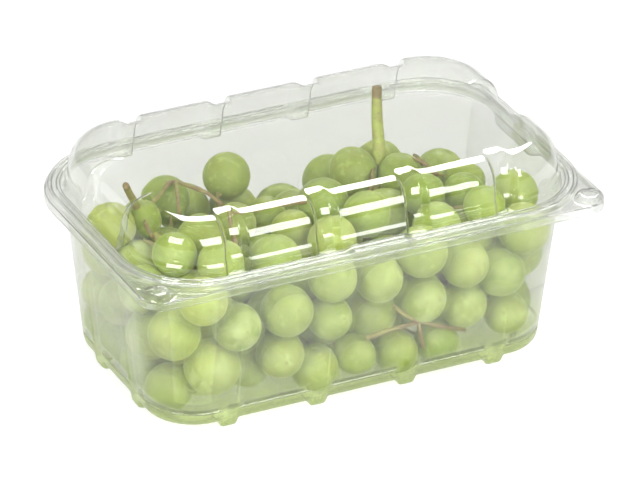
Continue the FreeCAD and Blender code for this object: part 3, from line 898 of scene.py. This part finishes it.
@dataclass
class BunchStem:
    """The wooden parts of one bunch: stalk, main stem, side twigs and the grapes' own stalks."""

    side: str
    stalk: tuple[Point, ...]
    main: tuple[Point, ...]
    twigs: tuple[tuple[Point, ...], ...]
    seed: int
    stalk_radii: tuple[float, float] = (2.75, 1.85)
    main_radii: tuple[float, float] = (2.3, 1.1)
    stalk_wood: float = 0.0
    twig_radius: float = 0.8
    knot_width: float = 0.035
    ridges: float = 0.05
    twig_ridges: float = 0.08
    cut_brown: float = 0.9
    cut_start: float = 0.86
    cut_soft: float = 0.04
    foot_brown: float = 0.5
    foot_end: float = 0.22
    foot_soft: float = 0.2
    sink: float = 0.965
    berry_radius: float = 0.62
    berry_knots: tuple[float, float, float] = (1.6, 4.0, 6.5)
    berry_bend: float = 0.2
    berry_stray: float = 0.6
    berry_brown: float = 0.35
    collar: float = 0.75
    collar_length: float = 0.13

    @property
    def node(self) -> str:
        """Name of the CAD node of the stem."""
        return f"{self.side}_bunch_stem"

    def rachis(self) -> Array:
        """Points of the main stem that the grapes turn to, in mm."""
        return curve_through(self.main, 12)

    def knobbly(self, path: Array, radii: tuple[float, float], knots: Sequence[float],
                swell: float) -> Array:
        """Radii along a path: an even taper with a swelling at each knot.

        Args:
            path: (K, 3) points in mm.
            radii: Radius at the start and at the end, in mm.
            knots: Shares of the length where the stem swells.
            swell: Height of a swelling, as a share of the radius.

        Returns:
            (K,) radii in mm.
        """
        share = np.linspace(0.0, 1.0, len(path))
        width = radii[0] + (radii[1] - radii[0]) * share
        bump = sum(np.exp(-((share - knot) / self.knot_width) ** 2) for knot in knots)
        return width * (1.0 + swell * bump)

    def stalk_browning(self, share: Array) -> Array:
        """Share of brown wood along the stalk, most at its foot and at the cut end.

        Args:
            share: Shares of the stalk's length, from the foot to the cut.

        Returns:
            The shares of brown wood.
        """
        cut_end = self.cut_brown * smooth((share - self.cut_start) / self.cut_soft)
        foot = self.foot_brown * smooth((self.foot_end - share) / self.foot_soft)
        return np.maximum(self.stalk_wood, cut_end + foot)

    def berry_stalk(self, start: Array, way: Array, rng: np.random.Generator) -> Branch:
        """Short stalk of one grape, with a collar where it leaves the skin.

        Args:
            start: Point just inside the grape's stalk end, in mm.
            way: Unit way out of the grape.
            rng: Random numbers of the bunch.

        Returns:
            The stalk.
        """
        near, middle, far = self.berry_knots
        bend = way + rng.normal(0, self.berry_bend, 3)
        line = curve_through((start, start + way * near, start + bend * middle,
                              start + bend * far + rng.normal(0, self.berry_stray, 3)), 3)
        along = np.linspace(0, 1, len(line))
        radii = self.berry_radius + self.collar * np.exp(-(along / self.collar_length) ** 2)
        return Branch(line, radii, 7, 0.0, self.berry_brown * (1.0 + along))

    def build(self, centre: Array, axis: Array, reach: Array, material: Material) -> None:
        """Build all the wood of the bunch as one piece and let it stand for its CAD node.

        Args:
            centre: (B, 3) grape centres in mm.
            axis: (B, 3) grape axes.
            reach: (B,) lengths from centre to stalk end in mm.
            material: Wood material.
        """
        rng = np.random.default_rng(self.seed)
        stalk, main = curve_through(self.stalk, 10), self.rachis()
        branches = [
            Branch(stalk, self.knobbly(stalk, self.stalk_radii, (0.02, 0.3), 0.14), 16,
                   self.ridges, self.stalk_browning(np.linspace(0, 1, len(stalk)))),
            Branch(main, self.knobbly(main, self.main_radii, (0.3, 0.55, 0.75), 0.25), 12,
                   self.ridges, np.full(len(main), 0.3))]
        for twig in self.twigs:
            line = curve_through(twig, 8)
            radii = self.knobbly(line, (self.twig_radius, self.twig_radius * 0.8),
                                 (0.0, 0.35, 0.7, 1.0), 0.45)
            branches.append(Branch(line, radii, 9, self.twig_ridges,
                                   np.linspace(0.55, 0.95, len(line))))
        for place, way, length in zip(centre, axis, reach):
            branches.append(self.berry_stalk(place + way * length * self.sink, way, rng))
        points, faces = join_meshes([branch.mesh() for branch in branches])
        piece = mesh_object(f"{self.side}_stems", points, faces, "tray", material)
        write_values(piece, "wood", np.concatenate([branch.shares() for branch in branches]))
        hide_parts(self.node)


def feed(tree: Tree, node: Node, inputs: dict) -> None:
    """Join a socket to each given input of a node, or set the input to a plain value.

    Args:
        tree: Tree of the node.
        node: Node to feed.
        inputs: Socket or plain value for each input, by name or number.
    """
    for name, value in inputs.items():
        if isinstance(value, Socket):
            tree.links.new(value, node.inputs[name])
        else:
            node.inputs[name].default_value = value


def add_node(tree: Tree, kind: str, inputs: dict, **settings: object) -> Node:
    """Add a shader node.

    Args:
        tree: Tree of the material, the world or the group.
        kind: Type of the node, without the word ShaderNode.
        inputs: Socket or plain value for each input, by name or number.
        **settings: Properties of the node.

    Returns:
        The new node.
    """
    node = tree.nodes.new(f"ShaderNode{kind}")
    for name, value in settings.items():
        setattr(node, name, value)
    feed(tree, node, inputs)
    return node


def combined(tree: Tree, operation: str, first: Socket, second: Socket | float) -> Socket:
    """Result of a sum worked out from two values."""
    return add_node(tree, "Math", {0: first, 1: second}, operation=operation).outputs[0]


def ranged(tree: Tree, value: Socket, limits: dict[str, float]) -> Socket:
    """A value carried from one range to another, with the limits that differ from 0 and 1."""
    return add_node(tree, "MapRange", {"Value": value, **limits}).outputs["Result"]


def bumped(tree: Tree, height: Socket, distance: float, strength: float) -> Socket:
    """Normal of a surface that a height pattern raises by a distance in metres."""
    return add_node(tree, "Bump", {"Height": height, "Distance": distance,
                                   "Strength": strength}).outputs["Normal"]


def mixed(tree: Tree, factor: Socket, first: Socket | Colour, second: Socket | Colour) -> Socket:
    """Mix two colours.

    Args:
        tree: The material's tree.
        factor: Share of the second colour.
        first: Colour at 0.
        second: Colour at 1.

    Returns:
        The mixed colour.
    """
    node = add_node(tree, "Mix", {"Factor": factor}, data_type="RGBA")
    colours = [k for k, socket in enumerate(node.inputs) if socket.type == "RGBA"]
    feed(tree, node, dict(zip(colours, (first, second))))
    return next(socket for socket in node.outputs if socket.type == "RGBA")


def attribute(tree: Tree, name: str) -> Socket:
    """Value of a float attribute of the piece."""
    return add_node(tree, "Attribute", {}, attribute_name=name).outputs["Fac"]


def object_place(tree: Tree) -> Socket:
    """Coordinates of the piece itself, in metres."""
    return add_node(tree, "TexCoord", {}).outputs["Object"]


def fresh_material(name: str) -> tuple[Material, Tree, Node, Node]:
    """Make a node material.

    Args:
        name: Name of the material.

    Returns:
        The material with its tree, Principled shader and output.
    """
    material = bpy.data.materials.new(name)
    material.use_nodes = True
    tree = material.node_tree
    return material, tree, tree.nodes["Principled BSDF"], tree.nodes["Material Output"]


def patch_group() -> Tree:
    """Build the shared patch pattern: soft noise turned into a mask, and a height from it.

    Inputs are Vector, Scale, Detail, Low and High; outputs are Mask, which rises from 0 to 1
    as the noise passes from Low to High, and Height, the noise itself.

    Returns:
        The group.
    """
    group = bpy.data.node_groups.new("patches", "ShaderNodeTree")
    face = group.interface
    face.new_socket("Vector", in_out="INPUT", socket_type="NodeSocketVector")
    for name, value in (("Scale", 100.0), ("Detail", 2.0), ("Low", 0.4), ("High", 0.6)):
        socket = face.new_socket(name, in_out="INPUT", socket_type="NodeSocketFloat")
        socket.default_value = value
    for name in ("Mask", "Height"):
        face.new_socket(name, in_out="OUTPUT", socket_type="NodeSocketFloat")
    start = group.nodes.new("NodeGroupInput").outputs
    noise = add_node(group, "TexNoise", {name: start[name] for name
                                         in ("Vector", "Scale", "Detail")}).outputs["Fac"]
    ramp = add_node(group, "MapRange", {"Value": noise, "From Min": start["Low"],
                                        "From Max": start["High"]},
                    interpolation_type="SMOOTHSTEP")
    feed(group, group.nodes.new("NodeGroupOutput"),
         {"Mask": ramp.outputs["Result"], "Height": noise})
    return group


@dataclass(frozen=True)
class Patches:
    """Values of one use of the patch pattern."""

    scale: float
    low: float = 0.4
    high: float = 0.6
    detail: float = 2.0

    def place(self, tree: Tree, group: Tree, vector: Socket) -> Node:
        """Put the group into a material with these values.

        Args:
            tree: The material's tree.
            group: The patch group.
            vector: Coordinates.

        Returns:
            The group node.
        """
        node = tree.nodes.new("ShaderNodeGroup")
        node.node_tree = group
        feed(tree, node, {"Vector": vector, "Scale": self.scale, "Detail": self.detail,
                          "Low": self.low, "High": self.high})
        return node


@dataclass(frozen=True)
class ClearFilm:
    """Clear formed film: clean, faintly green-grey, with slight waves from forming."""

    name: str
    tint: Colour = (0.94, 0.948, 0.925, 1.0)
    low_tint: Colour | None = None
    clearness: float = 0.995
    straight: float = 0.05
    index: float = 1.5
    roughness: float = 0.015
    waves: Patches = Patches(45.0)
    wave_height: float = 0.00012

    def build(self, group: Tree) -> Material:
        """Build the film; lamps reach through it, as through real clear film.

        Args:
            group: The patch group.

        Returns:
            The material.
        """
        material, tree, shader, output = fresh_material(self.name)
        tint = self.tint
        if self.low_tint:
            tint = mixed(tree, attribute(tree, "low"), self.tint, self.low_tint)
        waves = self.waves.place(tree, group, object_place(tree)).outputs["Height"]
        feed(tree, shader, {
            "Base Color": tint, "Roughness": self.roughness, "IOR": self.index,
            "Transmission Weight": self.clearness,
            "Normal": bumped(tree, waves, self.wave_height, 1.0)})
        path = add_node(tree, "LightPath", {})
        clear = add_node(tree, "BsdfTransparent", {"Color": tint})
        through = combined(tree, "MAXIMUM", path.outputs["Is Shadow Ray"], self.straight)
        mix = add_node(tree, "MixShader", {"Fac": through, 1: shader.outputs["BSDF"],
                                           2: clear.outputs["BSDF"]})
        feed(tree, output, {"Surface": mix.outputs["Shader"]})
        return material


@dataclass(frozen=True)
class GrapeSkin:
    """Green grape: translucent flesh, patchy bloom, freckles, blossom scar, painted rim highlight.
    """

    name: str = "grape_skin"
    lime: Colour = (0.235, 0.315, 0.055, 1.0)
    amber: Colour = (0.33, 0.38, 0.085, 1.0)
    bloom: Colour = (0.41, 0.48, 0.175, 1.0)
    # Pale green: the freckles' colour, and also a painted rim highlight laid where the skin turns
    # away from view.
    edge: Colour = (0.56, 0.65, 0.25, 1.0)
    scar: Colour = (0.16, 0.10, 0.04, 1.0)
    dust: Patches = Patches(130.0, 0.36, 0.64)
    freckles: Patches = Patches(420.0, 0.54, 0.70)
    blotches: Patches = Patches(60.0, 0.46, 0.60)
    freckle_share: float = 0.35
    blotch_share: float = 0.35

    def build(self, group: Tree) -> Material:
        """Build the skin: the tone first, then bloom, freckles, scar, blotches, painted pale rim
        highlight.

        Args:
            group: The patch group.

        Returns:
            The material.
        """
        material, tree, shader, _ = fresh_material(self.name)
        place = object_place(tree)
        colour = mixed(tree, attribute(tree, "tone"), self.lime, self.amber)
        dust, freckles, blotches = (patches.place(tree, group, place).outputs["Mask"]
                                    for patches in (self.dust, self.freckles, self.blotches))
        # How edge-on the skin is seen; it drives the painted rim highlight below.
        turned = add_node(tree, "LayerWeight", {}).outputs["Facing"]
        for factor, over in (
                (combined(tree, "MULTIPLY", dust, attribute(tree, "bloom")), self.bloom),
                (combined(tree, "MULTIPLY", freckles, self.freckle_share), self.edge),
                (ranged(tree, attribute(tree, "pole"), {
                    "From Min": -0.9815, "From Max": -0.984, "To Max": 0.55}), self.scar),
                (combined(tree, "MULTIPLY", blotches, self.blotch_share), self.lime),
                # Painted rim highlight: the pale colour laid over the skin towards its outline.
                (ranged(tree, turned, {"From Min": 0.70, "To Max": 0.65}), self.edge)):
            colour = mixed(tree, factor, colour, over)
        feed(tree, shader, {
            "Base Color": colour,
            "Roughness": ranged(tree, dust, {"To Min": 0.30, "To Max": 0.55}),
            "Subsurface Weight": 0.85, "Subsurface Radius": (1.0, 0.9, 0.35),
            "Subsurface Scale": 0.006, "IOR": 1.4, "Specular IOR Level": 0.25})
        return material


@dataclass(frozen=True)
class StemWood:
    """Stem: fresh green where young, browned at cuts, knots and thin twigs."""

    name: str = "stem_wood"
    green: Colour = (0.42, 0.48, 0.10, 1.0)
    brown: Colour = (0.225, 0.15, 0.055, 1.0)
    dark: Colour = (0.07, 0.035, 0.02, 1.0)
    stains: Patches = Patches(260.0, 0.42, 0.62, 4.0)
    specks: Patches = Patches(1200.0, 0.6, 0.7)
    stain_share: float = 0.35
    speck_share: float = 0.6
    roughness: float = 0.62
    grain_height: float = 0.0004
    grain_strength: float = 0.6

    def build(self, group: Tree) -> Material:
        """Build the wood: stains brown it over its own share, and dark specks lie on top.

        Args:
            group: The patch group.

        Returns:
            The material.
        """
        material, tree, shader, _ = fresh_material(self.name)
        place = object_place(tree)
        stains, specks = (patches.place(tree, group, place).outputs
                          for patches in (self.stains, self.specks))
        share = add_node(tree, "Math", {0: stains["Mask"], 1: self.stain_share,
                                        2: attribute(tree, "wood")},
                         operation="MULTIPLY_ADD", use_clamp=True).outputs[0]
        colour = mixed(tree, share, self.green, self.brown)
        faint = combined(tree, "MULTIPLY", specks["Mask"], self.speck_share)
        feed(tree, shader, {
            "Base Color": mixed(tree, faint, colour, self.dark), "Roughness": self.roughness,
            "Normal": bumped(tree, stains["Height"], self.grain_height, self.grain_strength)})
        return material


def looking_at(target: Point, bearing: float, height: float, away: float,
               roll: float = 0.0) -> Matrix:
    """Pose of a lamp or camera that looks at a target.

    It stands at target + away * back. Its axes are side and back x side, both turned by the
    roll, and back.

    Args:
        target: Point in metres.
        bearing: Angle from the front towards the right, in degrees.
        height: Angle from the floor up, in degrees.
        away: Distance from the target, in metres.
        roll: Turn round the line of sight, in degrees.

    Returns:
        The pose.
    """
    b, h, r = (math.radians(angle) for angle in (bearing, height, roll))
    back = np.array([math.sin(b) * math.cos(h), -math.cos(b) * math.cos(h), math.sin(h)])
    side = np.array([math.cos(b), math.sin(b), 0.0])
    up = np.cross(back, side)
    matrix = np.eye(4)
    matrix[:3] = np.stack([math.cos(r) * side + math.sin(r) * up,
                           math.cos(r) * up - math.sin(r) * side, back,
                           np.array(target) + back * away], 1)
    return Matrix(matrix.tolist())


class LampUse(Enum):
    """What a lamp is there for: matt surfaces, or the mirror images on gloss and clear film."""

    MATT = "matt"
    GLOSS = "gloss"


@dataclass(frozen=True)
class SoftBox:
    """A rectangular lamp at a bearing from the object, with its size in metres."""

    name: str
    bearing: float
    height: float
    size: tuple[float, float]
    power: float
    use: LampUse
    away: float = 1.3

    def build(self, target: Point) -> None:
        """Place the lamp so that it faces the target.

        Args:
            target: Point in metres.
        """
        lamp = bpy.data.lights.new(self.name, "AREA")
        lamp.shape = "RECTANGLE"
        lamp.size, lamp.size_y = self.size
        lamp.energy = self.power
        piece = bpy.data.objects.new(self.name, lamp)
        piece.matrix_world = looking_at(target, self.bearing, self.height, self.away)
        piece.visible_diffuse = self.use is LampUse.MATT
        piece.visible_glossy = self.use is LampUse.GLOSS
        piece.visible_transmission = self.use is LampUse.GLOSS
        bpy.context.scene.collection.objects.link(piece)


@dataclass
class Studio:
    """White floor, white surround, soft lamps and the camera."""

    bearing: float = -26.534
    height: float = 28.837
    away: float = 2.5
    roll: float = 0.873
    lens: float = 377.5
    farthest: float = 50.0
    target: Point = (0.001703, -0.002079, 0.044561)
    floor_half: float = 30.0
    floor_level: float = -0.0002
    floor_grey: float = 0.42
    floor_glow: float = 0.76
    surround: float = 0.36
    lamp_target: Point = (0.0, 0.0, 0.06)
    lamps: tuple[SoftBox, ...] = (
        SoftBox("front_light", 2.0, 36.0, (0.9, 0.6), 9.0, LampUse.MATT),
        SoftBox("left_light", -62.0, 30.0, (0.6, 0.6), 8.0, LampUse.MATT),
        SoftBox("rear_light", 150.0, 50.0, (0.9, 0.5), 3.0, LampUse.MATT),
        SoftBox("front_image", 6.5, 26.5, (0.93, 0.62), 20.5, LampUse.GLOSS),
        SoftBox("left_image", -58.0, 28.0, (0.5, 0.5), 8.0, LampUse.GLOSS),
        SoftBox("rear_image", 148.0, 43.5, (0.46, 0.44), 8.0, LampUse.GLOSS),
    )

    def camera(self) -> None:
        """Place the camera where the photograph was taken from."""
        lens = bpy.data.cameras.new("photo_camera")
        lens.lens = self.lens
        lens.clip_end = self.farthest
        camera = bpy.data.objects.new("photo_camera", lens)
        camera.matrix_world = looking_at(self.target, self.bearing, self.height, self.away,
                                         self.roll)
        bpy.context.scene.collection.objects.link(camera)
        bpy.context.scene.camera = camera

    def floor(self) -> None:
        """Lay a white floor that keeps the object's shadow."""
        mesh = bpy.data.meshes.new("studio_floor")
        corners = [(x * self.floor_half, y * self.floor_half, self.floor_level)
                   for x, y in ((-1, -1), (1, -1), (1, 1), (-1, 1))]
        mesh.from_pydata(corners, [], [(0, 1, 2, 3)])
        material, tree, shader, output = fresh_material("studio_floor")
        tree.nodes.remove(shader)
        matt = add_node(tree, "BsdfDiffuse", {"Color": (self.floor_grey,) * 3 + (1.0,)})
        path = add_node(tree, "LightPath", {}).outputs
        sees = path["Is Camera Ray"]
        for ray in ("Is Glossy Ray", "Is Transmission Ray"):
            sees = combined(tree, "MAXIMUM", sees, path[ray])
        strength = combined(tree, "MULTIPLY", sees, self.floor_glow)
        glow = add_node(tree, "Emission", {"Strength": strength})
        both = add_node(tree, "AddShader", {0: matt.outputs["BSDF"],
                                            1: glow.outputs["Emission"]})
        feed(tree, output, {"Surface": both.outputs["Shader"]})
        mesh.materials.append(material)
        piece = bpy.data.objects.new("studio_floor", mesh)
        bpy.context.scene.collection.objects.link(piece)

    def world(self) -> None:
        """Surround the object with a white backdrop for the camera and a grey room otherwise."""
        world = bpy.data.worlds.new("studio")
        world.use_nodes = True
        bpy.context.scene.world = world
        tree = world.node_tree
        path = add_node(tree, "LightPath", {})
        level = ranged(tree, path.outputs["Is Camera Ray"], {"To Min": self.surround})
        feed(tree, tree.nodes["Background"], {"Color": WHITE, "Strength": level})

    def build(self) -> None:
        """Set up the camera, the lamps, the floor and the surround."""
        scene = bpy.context.scene
        scene.view_settings.view_transform = "Standard"
        scene.cycles.max_bounces = 20
        scene.cycles.transmission_bounces = 18
        scene.cycles.transparent_max_bounces = 24
        self.camera()
        for lamp in self.lamps:
            lamp.build(self.lamp_target)
        self.floor()
        self.world()


STEMS = (
    BunchStem(
        "right",
        stalk=((39.0, 23.4, 51.0), (40.6, 26.0, 60.0), (41.6, 30.0, 72.0), (42.7, 33.0, 84.0)),
        main=((39.4, 24.0, 53.0), (33.0, 16.0, 43.0), (26.0, 7.0, 30.0), (17.6, -2.6, 20.2)),
        twigs=(((41.0, 25.0, 54.0), (46.0, 19.5, 58.5), (51.0, 13.0, 60.0), (57.0, 9.0, 55.0)),
               ((40.0, 25.0, 55.0), (35.5, 20.0, 57.0), (31.0, 12.5, 57.0), (26.0, 6.0, 52.0)),
               ((24.0, 5.0, 27.0), (30.0, -14.0, 27.0), (28.0, -34.0, 27.0), (23.0, -43.2, 25.6)),
               ((1.4, -43.2, 24.0), (8.8, -43.6, 25.2), (15.4, -43.7, 25.6), (23.0, -43.2, 25.6)),
               ((13.1, -42.4, 34.0), (18.0, -43.3, 29.7), (24.0, -43.6, 25.8),
                (33.0, -43.3, 21.5), (43.3, -42.0, 17.0)),
               ((23.4, -43.2, 25.1), (24.2, -43.0, 20.0), (26.0, -42.0, 13.7)),
               ((24.0, 5.0, 27.0), (36.0, -6.0, 25.0), (48.4, -18.4, 23.6))),
        seed=5),
    BunchStem(
        "left",
        stalk=((-63.5, 16.5, 61.5), (-66.0, 15.0, 67.5), (-69.4, 12.5, 73.5), (-72.2, 9.6, 78.9)),
        stalk_radii=(1.5, 1.3), stalk_wood=0.5,
        main=((-63.5, 16.5, 62.0), (-57.0, 9.0, 50.0), (-40.0, 2.0, 34.0), (-26.4, -2.6, 20.2)),
        twigs=(((-62.0, 16.0, 62.5), (-54.0, 20.0, 65.0), (-46.0, 25.5, 66.5),
                (-42.0, 18.6, 67.0), (-37.5, 13.2, 66.0), (-33.4, 8.5, 62.5)),
               ((-45.0, 24.0, 66.5), (-49.0, 14.0, 66.5), (-52.0, 6.0, 64.0)),
               ((-33.5, 2.0, 64.5), (-37.4, -7.0, 64.5), (-40.6, -17.0, 62.5),
                (-42.6, -26.0, 59.0)),
               ((-33.6, -1.0, 64.2), (-26.3, -6.0, 66.4), (-18.3, -8.0, 67.5), (-5.8, -5.2, 64.5)),
               ((-62.5, 15.0, 61.0), (-66.0, 4.0, 62.0), (-67.0, -3.0, 62.5)),
               ((-38.0, 0.0, 30.0), (-52.0, -8.0, 26.0), (-63.4, -15.7, 23.6))),
        seed=9),
)


def main() -> None:
    """Build the punnet's pieces and the studio round them."""
    patches = patch_group()
    Studio().build()
    tray_film = ClearFilm("tray_film", low_tint=(0.79, 0.84, 0.60, 1.0), clearness=0.98,
                          straight=0.3)
    TraySheet().build(tray_film.build(patches))
    lid_film = ClearFilm("lid_film").build(patches)
    LidSheet().build(lid_film)
    HingeRoll().build(lid_film)
    skin = GrapeSkin().build(patches)
    wood = StemWood().build(patches)
    for stem in STEMS:
        bunch = Bunch(stem.side, stem.seed + GRAPE_SEED_STEP)
        stem.build(*bunch.build(frame["nodes"], stem.rachis(), skin), wood)


if __name__ == "__main__":
    logging.basicConfig(level=logging.INFO, format="%(name)s %(message)s")
    main()
